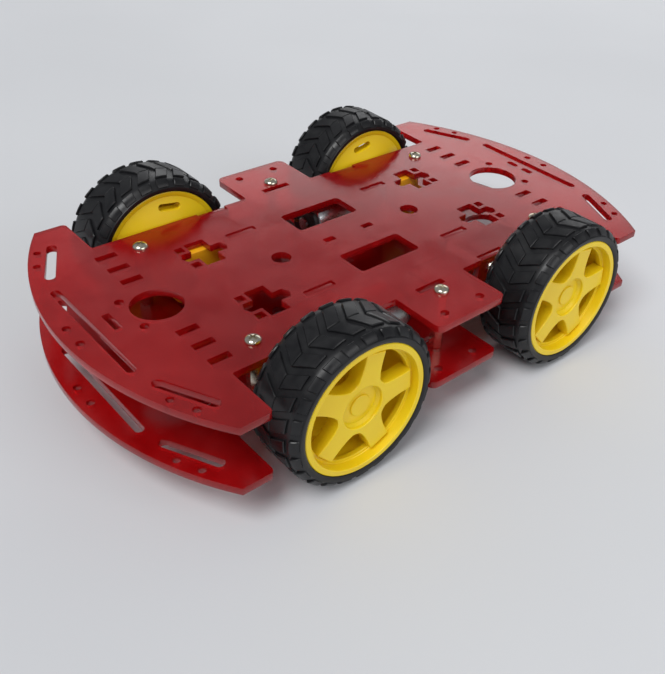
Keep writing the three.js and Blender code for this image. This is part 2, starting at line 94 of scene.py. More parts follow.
def add_sun(at, strength, spread):
    """A far, soft lamp shining from a point towards the origin; spread is its width in degrees."""
    data = bpy.data.lights.new("sun", "SUN")
    data.energy = strength
    data.angle = math.radians(spread)
    sun = bpy.data.objects.new("sun", data)
    sun.rotation_euler = (-Vector(at)).to_track_quat("-Z", "Y").to_euler()
    bpy.context.scene.collection.objects.link(sun)


def add_world(colour, strength):
    world = bpy.data.worlds.new("studio")
    world.use_nodes = True
    background = world.node_tree.nodes["Background"]
    background.inputs["Color"].default_value = (*colour, 1)
    background.inputs["Strength"].default_value = strength
    bpy.context.scene.world = world


# ---------------------------------------------------------------- materials


# Sockets of a Mix node that mixes colours.
MIX_FACTOR, MIX_FIRST, MIX_SECOND = 0, 6, 7
MIX_COLOUR = 2


class Finish:
    """A Principled material with the few node patterns that the finishes are made of."""

    def __init__(self, name, **values):
        self.material = bpy.data.materials.new(name)
        self.material.use_nodes = True
        self.nodes = self.material.node_tree.nodes
        self.links = self.material.node_tree.links
        self.shader = self.nodes["Principled BSDF"]
        for socket, value in values.items():
            self.shader.inputs[socket.replace("_", " ")].default_value = value
        self.place = self.nodes.new("ShaderNodeTexCoord").outputs["Object"]

    def join(self, output, node, socket):
        self.links.new(output, node.inputs[socket])

    def noise(self, size, detail=3, distortion=0):
        """Noise whose blotches are about size millimetres across."""
        node = self.nodes.new("ShaderNodeTexNoise")
        node.inputs["Scale"].default_value = 1 / (size * MM)
        node.inputs["Detail"].default_value = detail
        node.inputs["Distortion"].default_value = distortion
        self.join(self.place, node, "Vector")
        return node.outputs["Fac"]

    def ramp(self, fac, *stops):
        """A value turned into colours; each stop is (position, colour)."""
        node = self.nodes.new("ShaderNodeValToRGB")
        while len(node.color_ramp.elements) < len(stops):
            node.color_ramp.elements.new(0.5)
        for element, (position, colour) in zip(node.color_ramp.elements, stops):
            element.position = position
            element.color = (*colour, 1)
        self.join(fac, node, "Fac")
        return node.outputs["Color"]

    def levels(self, fac, low, high, start=0.3, end=0.7):
        """A value from one range stretched over another."""
        node = self.nodes.new("ShaderNodeMapRange")
        limits = {"From Min": start, "From Max": end, "To Min": low, "To Max": high}
        for socket, value in limits.items():
            node.inputs[socket].default_value = value
        self.join(fac, node, "Value")
        return node.outputs["Result"]

    def blend(self, fac, first, second):
        """Two colours mixed by a value."""
        node = self.nodes.new("ShaderNodeMix")
        node.data_type = "RGBA"
        for output, socket in ((fac, MIX_FACTOR), (first, MIX_FIRST), (second, MIX_SECOND)):
            self.links.new(output, node.inputs[socket])
        return node.outputs[MIX_COLOUR]

    def colour(self, output):
        self.join(output, self.shader, "Base Color")

    def roughness(self, output):
        self.join(output, self.shader, "Roughness")

    def bump(self, height, strength, depth):
        """Relief from a value, depth millimetres high."""
        node = self.nodes.new("ShaderNodeBump")
        node.inputs["Strength"].default_value = strength
        node.inputs["Distance"].default_value = depth * MM
        self.join(height, node, "Height")
        self.join(node.outputs["Normal"], self.shader, "Normal")


def acrylic_face():
    """The faces of clear red sheet, with the haze, smears and dust of handling."""
    finish = Finish("red_acrylic_face", IOR=1.49, Transmission_Weight=0.62)
    cloud = finish.noise(60, 3, 0.3)
    smear = finish.noise(14, 5, 0.8)
    dust = finish.noise(0.9, 2)
    deep = finish.ramp(cloud, (0.34, (0.42, 0.003, 0.005)), (0.66, (0.56, 0.005, 0.007)))
    milky = finish.ramp(cloud, (0.3, (0.50, 0.008, 0.010)), (0.7, (0.62, 0.014, 0.016)))
    finish.colour(finish.blend(finish.levels(smear, 0, 1, 0.35, 0.75), deep, milky))
    finish.roughness(finish.levels(smear, 0.14, 0.24))
    finish.bump(dust, 0.08, 0.02)
    return finish.material


def acrylic_edge(name, dark, light, glow):
    """A laser-cut wall with its fine cut marks. Its emission, set by glow, is a painted glow that stands
    in for the light the sheet carries.
    """
    finish = Finish(name, IOR=1.49, Transmission_Weight=0.3, Emission_Strength=glow)
    finish.shader.inputs["Emission Color"].default_value = (1, 0.02, 0.02, 1)
    finish.colour(finish.ramp(finish.noise(7, 3), (0.3, dark), (0.7, light)))
    finish.roughness(finish.levels(finish.noise(1.2, 2), 0.1, 0.28))
    finish.bump(finish.noise(0.5, 1), 0.2, 0.04)
    return finish.material


def yellow_plastic(name, dark, light, rough):
    finish = Finish(name, IOR=1.5, Subsurface_Weight=0.12, Subsurface_Scale=0.002)
    finish.shader.inputs["Subsurface Radius"].default_value = (1, 0.6, 0.1)
    finish.colour(finish.ramp(finish.noise(26, 2), (0.3, dark), (0.7, light)))
    finish.roughness(finish.levels(finish.noise(6, 3), rough - 0.04, rough + 0.06))
    finish.bump(finish.noise(0.5, 2), 0.08, 0.02)
    return finish.material


def rubber():
    finish = Finish("tyre_rubber", IOR=1.42)
    worn = finish.noise(5, 5, 0.4)
    finish.colour(finish.ramp(worn, (0.3, (0.004, 0.004, 0.005)), (0.75, (0.011, 0.011, 0.012))))
    finish.roughness(finish.levels(worn, 0.3, 0.46))
    finish.bump(finish.noise(0.6, 3), 0.2, 0.03)
    return finish.material


def metal(name, dark, light, rough, grain=1.0):
    finish = Finish(name, Metallic=1)
    finish.colour(finish.ramp(finish.noise(4, 4), (0.3, dark), (0.7, light)))
    finish.roughness(finish.levels(finish.noise(grain, 4), rough - 0.06, rough + 0.1))
    finish.bump(finish.noise(0.4, 2), 0.1, 0.02)
    return finish.material


def plastic(name, dark, light, rough):
    finish = Finish(name, IOR=1.5)
    finish.colour(finish.ramp(finish.noise(6, 4), (0.3, dark), (0.7, light)))
    finish.roughness(finish.levels(finish.noise(1.5, 3), rough - 0.08, rough + 0.08))
    finish.bump(finish.noise(0.5, 2), 0.12, 0.02)
    return finish.material


ACRYLIC_FACE = acrylic_face()
# The deck's cut walls are painted bright red with an emitted glow: painted light for what the sheet
# carries out of them.
DECK = [
    ACRYLIC_FACE,
    acrylic_edge("red_acrylic_cut", (0.50, 0.010, 0.012), (0.78, 0.030, 0.032), 0.14),
]
# The tall brackets' cut walls are the same acrylic painted dark: painted shade, because they look dark
# from their ends.
BRACKET = [
    ACRYLIC_FACE,
    acrylic_edge("red_acrylic_cut_painted_shade", (0.09, 0.002, 0.003), (0.20, 0.005, 0.006), 0),
]
GEARBOX = yellow_plastic("gearbox_yellow", (0.80, 0.36, 0.006), (0.90, 0.46, 0.012), 0.36)
RIM = yellow_plastic("wheel_yellow", (0.85, 0.58, 0.005), (0.90, 0.65, 0.010), 0.34)
RUBBER = rubber()
NICKEL = metal("nickel_plate", (0.58, 0.53, 0.42), (0.84, 0.78, 0.64), 0.16)
STEEL = metal("motor_steel", (0.36, 0.37, 0.38), (0.56, 0.57, 0.58), 0.3)
BRASS = metal("terminal_brass", (0.60, 0.40, 0.14), (0.78, 0.56, 0.24), 0.28)
CAP = plastic("motor_cap_black", (0.012, 0.012, 0.013), (0.03, 0.03, 0.032), 0.42)
NYLON = plastic("white_nylon", (0.62, 0.60, 0.54), (0.76, 0.74, 0.68), 0.42)


def floor_finish():
    finish = Finish("studio_floor")
    patches = finish.noise(300, 2)
    finish.colour(finish.ramp(patches, (0.3, (0.62, 0.63, 0.65)), (0.7, (0.66, 0.67, 0.69))))
    finish.roughness(finish.levels(finish.noise(60, 2), 0.7, 0.85))
    return finish.material


# ---------------------------------------------------------------- loops in a plane


def rounded(corners, steps=5):
    """A closed loop from corners (x, y, r), where r rounds the corner."""
    loop = []
    for i, (x, y, r) in enumerate(corners):
        here = Vector((x, y))
        if r == 0:
            loop.append(here)
            continue
        back = (Vector(corners[i - 1][:2]) - here).normalized()
        ahead = (Vector(corners[(i + 1) % len(corners)][:2]) - here).normalized()
        half = back.angle(ahead) / 2
        centre = here + (back + ahead).normalized() * (r / math.sin(half))
        start = here + back * (r / math.tan(half)) - centre
        end = here + ahead * (r / math.tan(half)) - centre
        turn = math.atan2(start.cross(end), start.dot(end))
        loop += [centre + Matrix.Rotation(turn * k / steps, 2) @ start for k in range(steps + 1)]
    return loop


def ring(x, y, radius, sides=32, start=0.0):
    angles = [start + 2 * math.pi * k / sides for k in range(sides)]
    return [Vector((x + radius * math.cos(a), y + radius * math.sin(a))) for a in angles]


def slot_loop(x, y, length, width, angle=0.0, sides=10):
    """A slot with half-round ends; angle turns its long side away from X."""
    reach = length / 2 - width / 2
    loop = []
    for end in (1, -1):
        for k in range(sides + 1):
            turn = math.pi * (k / sides - 0.5) + (0 if end > 0 else math.pi)
            loop.append(Vector((end * reach + width / 2 * math.cos(turn), width / 2 * math.sin(turn))))
    return [Matrix.Rotation(angle, 2) @ p + Vector((x, y)) for p in loop]


def box_loop(x, y, width, height, r=0.0):
    return rounded([(x + sx * width / 2, y + sy * height / 2, r) for sx, sy in QUARTERS])


def hexagon(flats):
    return ring(0, 0, flats / math.sqrt(3), 6, math.pi / 6)


def curve(first, pull, last, steps):
    """Points along a curve from first to last, pulled towards a third point."""
    first, pull, last = Vector(first), Vector(pull), Vector(last)
    return [
        first * (1 - t) ** 2 + pull * 2 * t * (1 - t) + last * t * t
        for t in (k / steps for k in range(steps + 1))
    ]


# ---------------------------------------------------------------- solids


WITHOUT_HOLES = 5  # the kind of result of delaunay_2d_cdt that leaves the holes empty


def slab(outline, holes, low, high, bevel=0.15, segments=2):
    """A flat sheet between two heights.

    Its walls and their rounded edges are smooth and take material 1.
    """
    points, loops = [], []
    for loop in [outline, *holes]:
        loops.append(list(range(len(points), len(points) + len(loop))))
        points += loop
    places, _, faces, *_ = delaunay_2d_cdt(points, [], loops, WITHOUT_HOLES, 1e-6)
    bm = bmesh.new()
    verts = [bm.verts.new((p.x, p.y, low)) for p in places]
    sheet = [bm.faces.new([verts[i] for i in face]) for face in faces]
    made = bmesh.ops.extrude_face_region(bm, geom=sheet)["geom"]
    lifted = [v for v in made if isinstance(v, bmesh.types.BMVert)]
    bmesh.ops.translate(bm, verts=lifted, vec=(0, 0, high - low))
    bmesh.ops.recalc_face_normals(bm, faces=bm.faces)
    walls = [f for f in bm.faces if abs(f.normal.z) < 0.5]
    for face in walls:
        face.material_index = 1
    wall_set = set(walls)
    rims = [e for e in bm.edges if len(wall_set.intersection(e.link_faces)) == 1]
    bmesh.ops.bevel(
        bm,
        geom=rims,
        offset=bevel,
        offset_type="OFFSET",
        segments=segments,
        profile=0.5,
        affect="EDGES",
        clamp_overlap=True,
        material=1,
    )
    for face in bm.faces:
        face.smooth = face.material_index == 1
    return bm


def lathe(profile, sides=48):
    """A profile of (radius, z) points turned about Z.

    The profile starts and ends on the axis, or closes on itself.
    """
    bm = bmesh.new()
    rows = []
    for r, z in profile:
        count = 1 if r == 0 else sides
        rows.append([bm.verts.new((p.x, p.y, z)) for p in ring(0, 0, r, sides)[:count]])
    if profile[0][0] != 0:
        rows.append(rows[0])
    for low, high in zip(rows, rows[1:]):
        for k in range(sides):
            corners = [
                low[k % len(low)],
                low[(k + 1) % len(low)],
                high[(k + 1) % len(high)],
                high[k % len(high)],
            ]
            bm.faces.new(list(dict.fromkeys(corners))).smooth = True
    bmesh.ops.recalc_face_normals(bm, faces=bm.faces)
    return bm


def joined(*parts):
    """Several solids as the islands of one mesh."""
    result = bmesh.new()
    for part in parts:
        data = bpy.data.meshes.new("joining")
        part.to_mesh(data)
        part.free()
        result.from_mesh(data)
        bpy.data.meshes.remove(data)
    return result


def moved(bm, *matrices):
    """A solid after each of these moves in turn."""
    for matrix in matrices:
        bm.transform(matrix)
    return bm


def cut(bm, cutter):
    """The first solid with the second one taken out of it."""
    objects = []
    for name, shape in (("body", bm), ("cutter", cutter)):
        data = bpy.data.meshes.new(name)
        shape.to_mesh(data)
        shape.free()
        objects.append(bpy.data.objects.new(name, data))
        bpy.context.scene.collection.objects.link(objects[-1])
    body, tool = objects
    modifier = body.modifiers.new("cut", "BOOLEAN")
    modifier.operation = "DIFFERENCE"
    modifier.solver = "EXACT"
    modifier.object = tool
    result = bmesh.new()
    result.from_object(body, bpy.context.evaluated_depsgraph_get())
    for item in objects:
        data = item.data
        bpy.data.objects.remove(item)
        bpy.data.meshes.remove(data)
    return result


def template(bm, sharp=32):
    """The mesh of a solid, with its edges sharp where it turns by more than sharp degrees."""
    for edge in bm.edges:
        edge.smooth = edge.calc_face_angle(math.pi) < math.radians(sharp)
    data = bpy.data.meshes.new("template")
    bm.to_mesh(data)
    bm.free()
    return data


def piece(name, shape, materials, body, place=Matrix(), replaces=()):
    """One visible piece: a template placed in the row frame, riding on a body."""
    data = shape.copy()
    data.name = name
    data.transform(place @ Matrix.Scale(MM, 4))
    data.materials.clear()
    for item in materials:
        data.materials.append(item)
    shown = bpy.data.objects.new(name, data)
    bpy.context.scene.collection.objects.link(shown)
    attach(shown, body)
    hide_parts(*replaces)
    return shown


def turn(axis, degrees):
    return Matrix.Rotation(math.radians(degrees), 4, axis)


# A sheet drawn in X and Y stands up with its Y along Z, and its height runs along -Y.
STAND = turn("X", 90)
# A lathed piece lies down with its axis along +Y.
OUTWARD = turn("X", -90)

# ---------------------------------------------------------------- plates

PLATE_LENGTH, PLATE_WIDTH, PLATE_THICKNESS = 256, 148, 3
PLATE_GAP = 23.5
END_CORNER_X = 105
NOTCH_START_X, NOTCH_END_X, NOTCH_Y = 18.2, 92, 50
WHEEL_X = 57.3
MOTOR_THICKNESS, MOTOR_HEIGHT, MOTOR_Y = 18.8, 22.5, 37.6
BRACKET_BACK, BRACKET_THICKNESS = 20.5, 3
BRACKET_X = WHEEL_X - BRACKET_BACK
BRACKET_OUTER_Y = MOTOR_Y + (MOTOR_THICKNESS + BRACKET_THICKNESS) / 2
BRACKET_INNER_Y = MOTOR_Y - (MOTOR_THICKNESS + BRACKET_THICKNESS) / 2
TAB_LENGTH = 13.6
TAB_SLOT = (TAB_LENGTH + 0.4, BRACKET_THICKNESS + 0.2)
SCREW_SPACING = 17.5
SCREW_HOLE = 1.7
CORNER_POST = (76.3, 39.5)
MIDDLE_POST_Y = 56.5


def plate_outline():
    rise = PLATE_LENGTH / 2 - END_CORNER_X
    radius = ((PLATE_WIDTH / 2) ** 2 + rise**2) / (2 * rise)
    centre = PLATE_LENGTH / 2 - radius
    reach = math.asin(PLATE_WIDTH / 2 / radius)
    steps = 48
    front = [
        (centre + radius * math.cos(a), radius * math.sin(a), 0)
        for a in (reach * (2 * k / steps - 1) for k in range(steps + 1))
    ]
    slot_front, slot_back = BRACKET_X + TAB_SLOT[0] / 2, BRACKET_X - TAB_SLOT[0] / 2
    slot_floor = BRACKET_OUTER_Y - TAB_SLOT[1] / 2
    side = [
        (NOTCH_END_X, PLATE_WIDTH / 2, 2),
        (NOTCH_END_X, NOTCH_Y, 1),
        (slot_front, NOTCH_Y, 0),
        (slot_front, slot_floor, 0),
        (slot_back, slot_floor, 0),
        (slot_back, NOTCH_Y, 0),
        (NOTCH_START_X, NOTCH_Y, 1),
        (NOTCH_START_X, PLATE_WIDTH / 2, 3),
    ]

    def mirrored(corners, sx, sy):
        return [(sx * x, sy * y, r) for x, y, r in corners]

    return rounded(
        front
        + side
        + mirrored(side, -1, 1)[::-1]
        + mirrored(front, -1, -1)
        + mirrored(side, -1, -1)
        + mirrored(side, 1, -1)[::-1]
    )


# Cut-outs on the centre line. A circle is its x and its radius.
CIRCLES = [(91.3, 10), (-91.3, 11.4)]
FRONT_SLIT_X, FRONT_SLIT_SIZE = 109.2, (3, 10.5)
LONG_SLOT_X, LONG_SLOT_SIZE = 117, (60, 3.6)
CENTRE_HOLE_X, CENTRE_HOLE_RADIUS = 35.3, 4.1
CENTRE_BOX_X, CENTRE_BOX_SIZE = 10.3, (5.4, 3)

# Cut-outs on both sides of the centre line. A hole is its x, y and radius.
REAR_SLIT_AT, REAR_SLIT_SIZE = (-111.3, 4.7), (6.2, 3)
SIDE_HOLES = [(101.5, 9.3, 1.8), (-101.5, 11.9, 1.8), (0, MIDDLE_POST_Y, SCREW_HOLE)]
WINDOW_Y, WINDOW_SIZE, WINDOW_CORNER = 20.2, (31.5, 15), 1.5
MIDDLE_SLOT_AT, MIDDLE_SLOT_SIZE = (1, 51.3), (14, 3)

# Cut-outs that come once in each quarter of the plate.
CORNER_SLOT_AT, CORNER_SLOT_SIZE, CORNER_SLOT_TURN = (109.1, 49.5), (25.7, 4), math.radians(64)
ROW_SLOT_X, ROW_SLOT_SIZE, ROWS = 90.6, (8.6, 3.4), (20.2, 30.4, 40.6)
CROSS_AT = (57.6, 21.6)
CROSS_QUARTER = [(10.4, 0), (9.0, 3.0), (4.4, 3.0), (4.4, 9.2)]
SQUARE_X, SQUARE_Y, SQUARE_SIZE = 65.2, 6.6, (3.6, 3.6)
QUARTER_HOLES = [
    (110.6, 58.5, 1.5),
    (114.8, 49.3, 1.5),
    (123.6, 5.3, 1.6),
    (9.6, 68, 1.8),
    (*CORNER_POST, SCREW_HOLE),
]


def encoder_cross(sx, sy):
    """An encoder opening: a wide arm across the car and a narrow one along it with pointed ends."""
    centre = Vector((sx * CROSS_AT[0], sy * CROSS_AT[1]))
    loop = []
    for qx, qy in QUARTERS:
        part = CROSS_QUARTER if qx == qy else CROSS_QUARTER[::-1]
        points = [centre + Vector((sx * qx * x, qy * y)) for x, y in part]
        loop += [p for p in points if not loop or (p - loop[-1]).length > 0.01]
    return loop if (loop[0] - loop[-1]).length > 0.01 else loop[:-1]


def plate_holes():
    across = math.pi / 2
    corner = 0.3
    holes = [ring(x, 0, radius, 64) for x, radius in CIRCLES]
    holes.append(box_loop(FRONT_SLIT_X, 0, *FRONT_SLIT_SIZE, corner))
    for sx in (1, -1):
        holes.append(slot_loop(sx * LONG_SLOT_X, 0, *LONG_SLOT_SIZE, across))
        holes.append(ring(sx * CENTRE_HOLE_X, 0, CENTRE_HOLE_RADIUS, 40))
        holes.append(box_loop(sx * CENTRE_BOX_X, 0, *CENTRE_BOX_SIZE, corner))
    for sy in (1, -1):
        holes.append(slot_loop(REAR_SLIT_AT[0], sy * REAR_SLIT_AT[1], *REAR_SLIT_SIZE, across))
        holes += [ring(x, sy * y, radius, 24) for x, y, radius in SIDE_HOLES]
        holes.append(box_loop(0, sy * WINDOW_Y, *WINDOW_SIZE, WINDOW_CORNER))
        holes.append(box_loop(MIDDLE_SLOT_AT[0], sy * MIDDLE_SLOT_AT[1], *MIDDLE_SLOT_SIZE, corner))
    for sx, sy in QUARTERS:
        x, y = sx * CORNER_SLOT_AT[0], sy * CORNER_SLOT_AT[1]
        holes.append(slot_loop(x, y, *CORNER_SLOT_SIZE, -sx * sy * CORNER_SLOT_TURN))
        holes.append(box_loop(sx * BRACKET_X, sy * BRACKET_INNER_Y, *TAB_SLOT, corner))
        holes.append(encoder_cross(sx, sy))
        for side in (1, -1):
            y = sy * CROSS_AT[1] + side * SQUARE_Y
            holes.append(box_loop(sx * SQUARE_X, y, *SQUARE_SIZE, 0.2))
        holes += [box_loop(sx * ROW_SLOT_X, sy * row, *ROW_SLOT_SIZE, corner) for row in ROWS]
        holes += [ring(sx * x, sy * y, radius, 24) for x, y, radius in QUARTER_HOLES]
    return holes


def add_plates():
    shape = template(slab(plate_outline(), plate_holes(), 0, PLATE_THICKNESS, 0.14))
    for name in ("top", "bottom"):
        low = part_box(f"{name}_plate")[0].z
        place = Matrix.Translation((0, 0, low))
        piece(f"{name}_deck", shape, DECK, "chassis", place, [f"{name}_plate"])


# ---------------------------------------------------------------- fasteners

STANDOFF_FLATS = 5
HEAD_RADIUS, HEAD_HEIGHT = 3.1, 2.1
HEAD_FOOT = 0.55  # height of the head's straight side, below its dome
RECESS, RECESS_DEPTH = (3.5, 0.72), 1.2
THREAD_RADIUS, THREAD_PITCH = 1.45, 0.5
THREAD_TOP, THREAD_DEPTH = -0.3, 0.28
POST_SCREW_LENGTH, MOTOR_SCREW_LENGTH = 8, 30


def screw(length):
    """A pan-head cross-recess screw: head above z = 0, threaded shank below."""
    head = [(0, HEAD_HEIGHT)]
    dome = HEAD_HEIGHT - HEAD_FOOT
    for k in range(1, 9):
        a = k * math.pi / 18
        head.append(((HEAD_RADIUS - 0.05) * math.sin(a), HEAD_FOOT + dome * math.cos(a)))
    head += [(HEAD_RADIUS, 0.5), (HEAD_RADIUS, 0.12), (HEAD_RADIUS - 0.12, 0), (0, 0)]
    shape = lathe(head, 40)
    for angle in (20, 110):
        floor = HEAD_HEIGHT - RECESS_DEPTH
        bar = slab(box_loop(0, 0, *RECESS, 0.12), [], floor, HEAD_HEIGHT + 0.5, 0.02, 1)
        shape = cut(shape, moved(bar, turn("Z", angle)))
    shank = [(0, 0.1), (THREAD_RADIUS, 0.1), (THREAD_RADIUS, THREAD_TOP)]
    root = THREAD_RADIUS - THREAD_DEPTH
    for k in range(int((length - 0.8) / THREAD_PITCH)):
        z = THREAD_TOP - THREAD_PITCH * k
        shank += [(root, z - THREAD_PITCH * 0.5), (THREAD_RADIUS, z - THREAD_PITCH)]
    shank += [(1.0, -length), (0, -length)]
    return joined(shape, lathe(shank, 16))


def add_posts():
    """The six standoffs, each with a screw through the plate above it and one through the plate below."""
    short_screw = template(screw(POST_SCREW_LENGTH))
    low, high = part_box("standoff_front_left")
    height = (high.z - low.z) / MM
    standoff = template(slab(hexagon(STANDOFF_FLATS), [ring(0, 0, 1.6, 20)], 0, height, 0.25), 25)
    seats = {
        "top": (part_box("top_plate")[1].z, Matrix()),
        "bottom": (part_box("bottom_plate")[0].z, turn("X", 180)),
    }
    for end in ("front", "middle", "rear"):
        for side in ("left", "right"):
            name = f"{end}_{side}"
            low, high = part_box(f"standoff_{name}")
            x, y = (low.x + high.x) / 2, (low.y + high.y) / 2
            at = Matrix.Translation((x, y, low.z))
            cad = [f"standoff_{name}"]
            piece(f"spacer_{name}", standoff, [NICKEL, NICKEL], "chassis", at, cad)
            twist = turn("Z", 17 * len(name))
            for deck, (z, flip) in seats.items():
                at = Matrix.Translation((x, y, z)) @ flip @ twist
                cad = [f"{deck}_screw_{name}"]
                piece(f"{deck}_panhead_{name}", short_screw, [NICKEL], "chassis", at, cad)


# ---------------------------------------------------------------- gear motors
# Each corner is drawn in its own frame: the origin is on the axle at the middle of the motor,
# +X points away from the middle of the car and +Y points out through the wheel.

HALF_THICKNESS, HALF_HEIGHT = MOTOR_THICKNESS / 2, MOTOR_HEIGHT / 2
GEARBOX_FRONT, GEARBOX_BACK = 11.5, -25.5
SEAM = 0.12
FACE_BOSSES = [(8.2, 8.2), (8.2, -8.2), (-13.5, 8.6), (-13.5, -8.6)]
CAN_RADIUS, CAN_FLAT, CAN_LENGTH, CAP_LENGTH = 10, 7.5, 24.5, 2.0
BEARING = [(0, 0), (3.1, 0), (3.1, 1.2), (2.8, 1.5), (0, 1.5)]
TERMINAL_SIZE, TERMINAL_OFFSET = (3.6, 2.2), 4.6
TAB_SHOULDER = 7.7
NUT_FLATS, NUT_HEIGHT = 5.5, 2.4


def gearbox_loops():
    back, front = GEARBOX_BACK, GEARBOX_FRONT
    outline = rounded(
        [
            (back, -HALF_HEIGHT, 1),
            (front, -HALF_HEIGHT, 5),
            (front, -4, 0),
            (front + 4, -4, 2),
            (front + 4, 4, 2),
            (front, 4, 0),
            (front, HALF_HEIGHT, 5),
            (back, HALF_HEIGHT, 1),
        ]
    )
    holes = [ring(0, 0, 2.9, 28), ring(front + 2, 0, 1.2, 20)]
    holes += [ring(-BRACKET_BACK, sz * SCREW_SPACING / 2, SCREW_HOLE, 24) for sz in (1, -1)]
    return outline, holes


def gearbox_half(side):
    """One half of the housing with the raised rings and screw bosses of its face."""
    outline, holes = gearbox_loops()
    face = side * HALF_THICKNESS
    near, far = sorted((side * SEAM / 2, face))
    parts = [slab(outline, holes, -far, -near, 0.35)]

    def boss(x, z, outer, inner, height):
        low, high = sorted((-face, -face - side * height))
        parts.append(slab(ring(x, z, outer, 32), [ring(x, z, inner, 32)], low, high, 0.12))

    boss(0, 0, 4.4, 2.95, 0.6)
    for x, z in FACE_BOSSES:
        boss(x, z, 1.9, 1.0, 0.3)
    return moved(joined(*parts), STAND)


def motor_parts():
    """The flattened can, its black end cap and its two terminals, as three templates."""
    start = math.asin(CAN_FLAT / CAN_RADIUS)
    arc = [start - 2 * start * k / 20 for k in range(21)]
    loop = [Vector((CAN_RADIUS * math.cos(a), -CAN_RADIUS * math.sin(a))) for a in arc]
    loop += [-p for p in loop]
    along = turn("Y", -90)
    near = -GEARBOX_BACK
    far = near + CAN_LENGTH

    def upright(bm):
        return moved(bm, turn("Z", 90), along)

    at = Matrix.Translation((0.4 - far - CAP_LENGTH, 0, 0))
    bearing = moved(lathe(BEARING, 32), along, at)
    can = joined(upright(slab(loop, [], near, far, 0.9, 4)), bearing)
    cap_loop = [p * 0.9 for p in loop]
    end_cap = upright(slab(cap_loop, [], far - 0.3, far + CAP_LENGTH, 0.5, 3))
    tabs = []
    for sz in (1, -1):
        tab = slab(box_loop(0, 0, *TERMINAL_SIZE, 0.5), [ring(0.7, 0, 0.55, 16)], -0.2, 0.2, 0.06)
        at = Matrix.Translation((-far - CAP_LENGTH - 0.1, sz * TERMINAL_OFFSET, 0))
        tabs.append(moved(tab, at))
    return template(can), template(end_cap), template(joined(*tabs))


def bracket():
    """An acrylic plate on one side of a motor, with a tab up into one deck and one down into the other."""
    tab = TAB_LENGTH / 2
    body_top, tab_top = PLATE_GAP / 2 - 0.05, PLATE_GAP / 2 + PLATE_THICKNESS - 0.6
    upper = [(TAB_SHOULDER, body_top, 0), (tab, body_top, 0), (tab, tab_top, 0.4)]
    upper += [(-x, z, r) for x, z, r in upper[::-1]]
    outline = rounded(upper + [(x, -z, r) for x, z, r in upper[::-1]])
    holes = [ring(0, sz * SCREW_SPACING / 2, SCREW_HOLE, 24) for sz in (1, -1)]
    half = BRACKET_THICKNESS / 2 - 0.05
    return moved(slab(outline, holes, -half, half, 0.14), STAND)


def motor_nut():
    """The nut, its flats square to X, lying with its foot on y = 0."""
    bore = ring(0, 0, THREAD_RADIUS, 20)
    return moved(slab(hexagon(NUT_FLATS), [bore], 0, NUT_HEIGHT, 0.3), STAND)


# ---------------------------------------------------------------- wheels
# A wheel is drawn about Z, with its outer face up.

SPOKES = 5
SPOKE_FACE, SPOKE_FOOT = 10.6, 4.6
LEDGE = 8.9
POCKET_FLOOR = -9.5
HUB_FOOT = -19
HUB_DISH, DISH_FLOOR = 8.7, 8.2


RIM_PROFILE = [
    # foot of the hub and the cone of the wheel's back
    (0, HUB_FOOT),
    (5.3, HUB_FOOT),
    (5.5, HUB_FOOT + 0.2),
    (5.5, HUB_FOOT + 1.5),
    (12, -16.2),
    (19, -13.9),
    (23.6, -12.5),
    (24.6, -12.2),
    # inner lip, seat of the tyre and outer lip
    (25.2, -12.5),
    (26.5, -12.6),
    (26.8, -12.4),
    (26.8, -11.2),
    (25.8, -11),
    (25.8, 11),
    (26.8, 11.2),
    (26.8, 12.5),
    (26.5, 12.8),
    (24.7, 12.8),
    (24.4, 12.6),
    # ledge that the spokes end on, barrel and pocket floor
    (24.1, 10.6),
    (24.0, LEDGE + 0.2),
    (23.8, LEDGE),
    (22.8, LEDGE),
    (22.6, LEDGE - 0.2),
    (22.6, LEDGE - 2),
    (23.5, LEDGE - 2.4),
    (23.8, POCKET_FLOOR + 1.5),
    (22.6, POCKET_FLOOR),
    # wall and dished face of the hub with its small cap
    (9.6, POCKET_FLOOR),
    (8.6, POCKET_FLOOR + 1),
    (7.9, SPOKE_FOOT),
    (7.9, DISH_FLOOR),
    (4.6, DISH_FLOOR),
    (4.35, DISH_FLOOR + 0.15),
    (4.2, 8.9),
    (4.0, 9.05),
    (0, 9.1),
]

# Half of the edge between two spokes, from the end of a spoke in to the hub.
SPOKE_END, SPOKE_PULL, SPOKE_ROOT = (20.6, 9.55), (13.7, 5.2), (11.5, 1.7)
ROOT_PULL = (11.0, 0)


def star_outline():
    """The hub with its five spokes, whose ends meet the barrel at its ledge."""
    side = curve(SPOKE_END, SPOKE_PULL, SPOKE_ROOT, 10)
    next_root = Vector((SPOKE_ROOT[0], -SPOKE_ROOT[1]))
    inner = curve(SPOKE_ROOT, ROOT_PULL, next_root, 6)[1:-1]
    other = [Vector((p.x, -p.y)) for p in side[::-1]]
    edge = (side + inner + other)[::-1]
    return [
        Matrix.Rotation(2 * math.pi * k / SPOKES, 2) @ p
        for k in range(SPOKES)
        for p in edge
    ]


def wheel_rim():
    """The shell with one slot through its back, the spokes and the slope into the hub's dish."""
    back_slot = slab(slot_loop(20.3, 0, 10.5, 3, math.pi / 2), [], -18, 0, 0.02, 1)
    shell = cut(lathe(RIM_PROFILE, 120), back_slot)
    spokes = slab(star_outline(), [ring(0, 0, HUB_DISH, 72)], SPOKE_FOOT, SPOKE_FACE, 0.45, 3)
    outer, inner = HUB_DISH + 0.4, HUB_DISH - 1
    slope = [(outer, SPOKE_FACE - 0.7), (inner, 8.15), (inner, 7.4), (outer, 7.4)]
    return joined(shell, spokes, lathe(slope, 72))


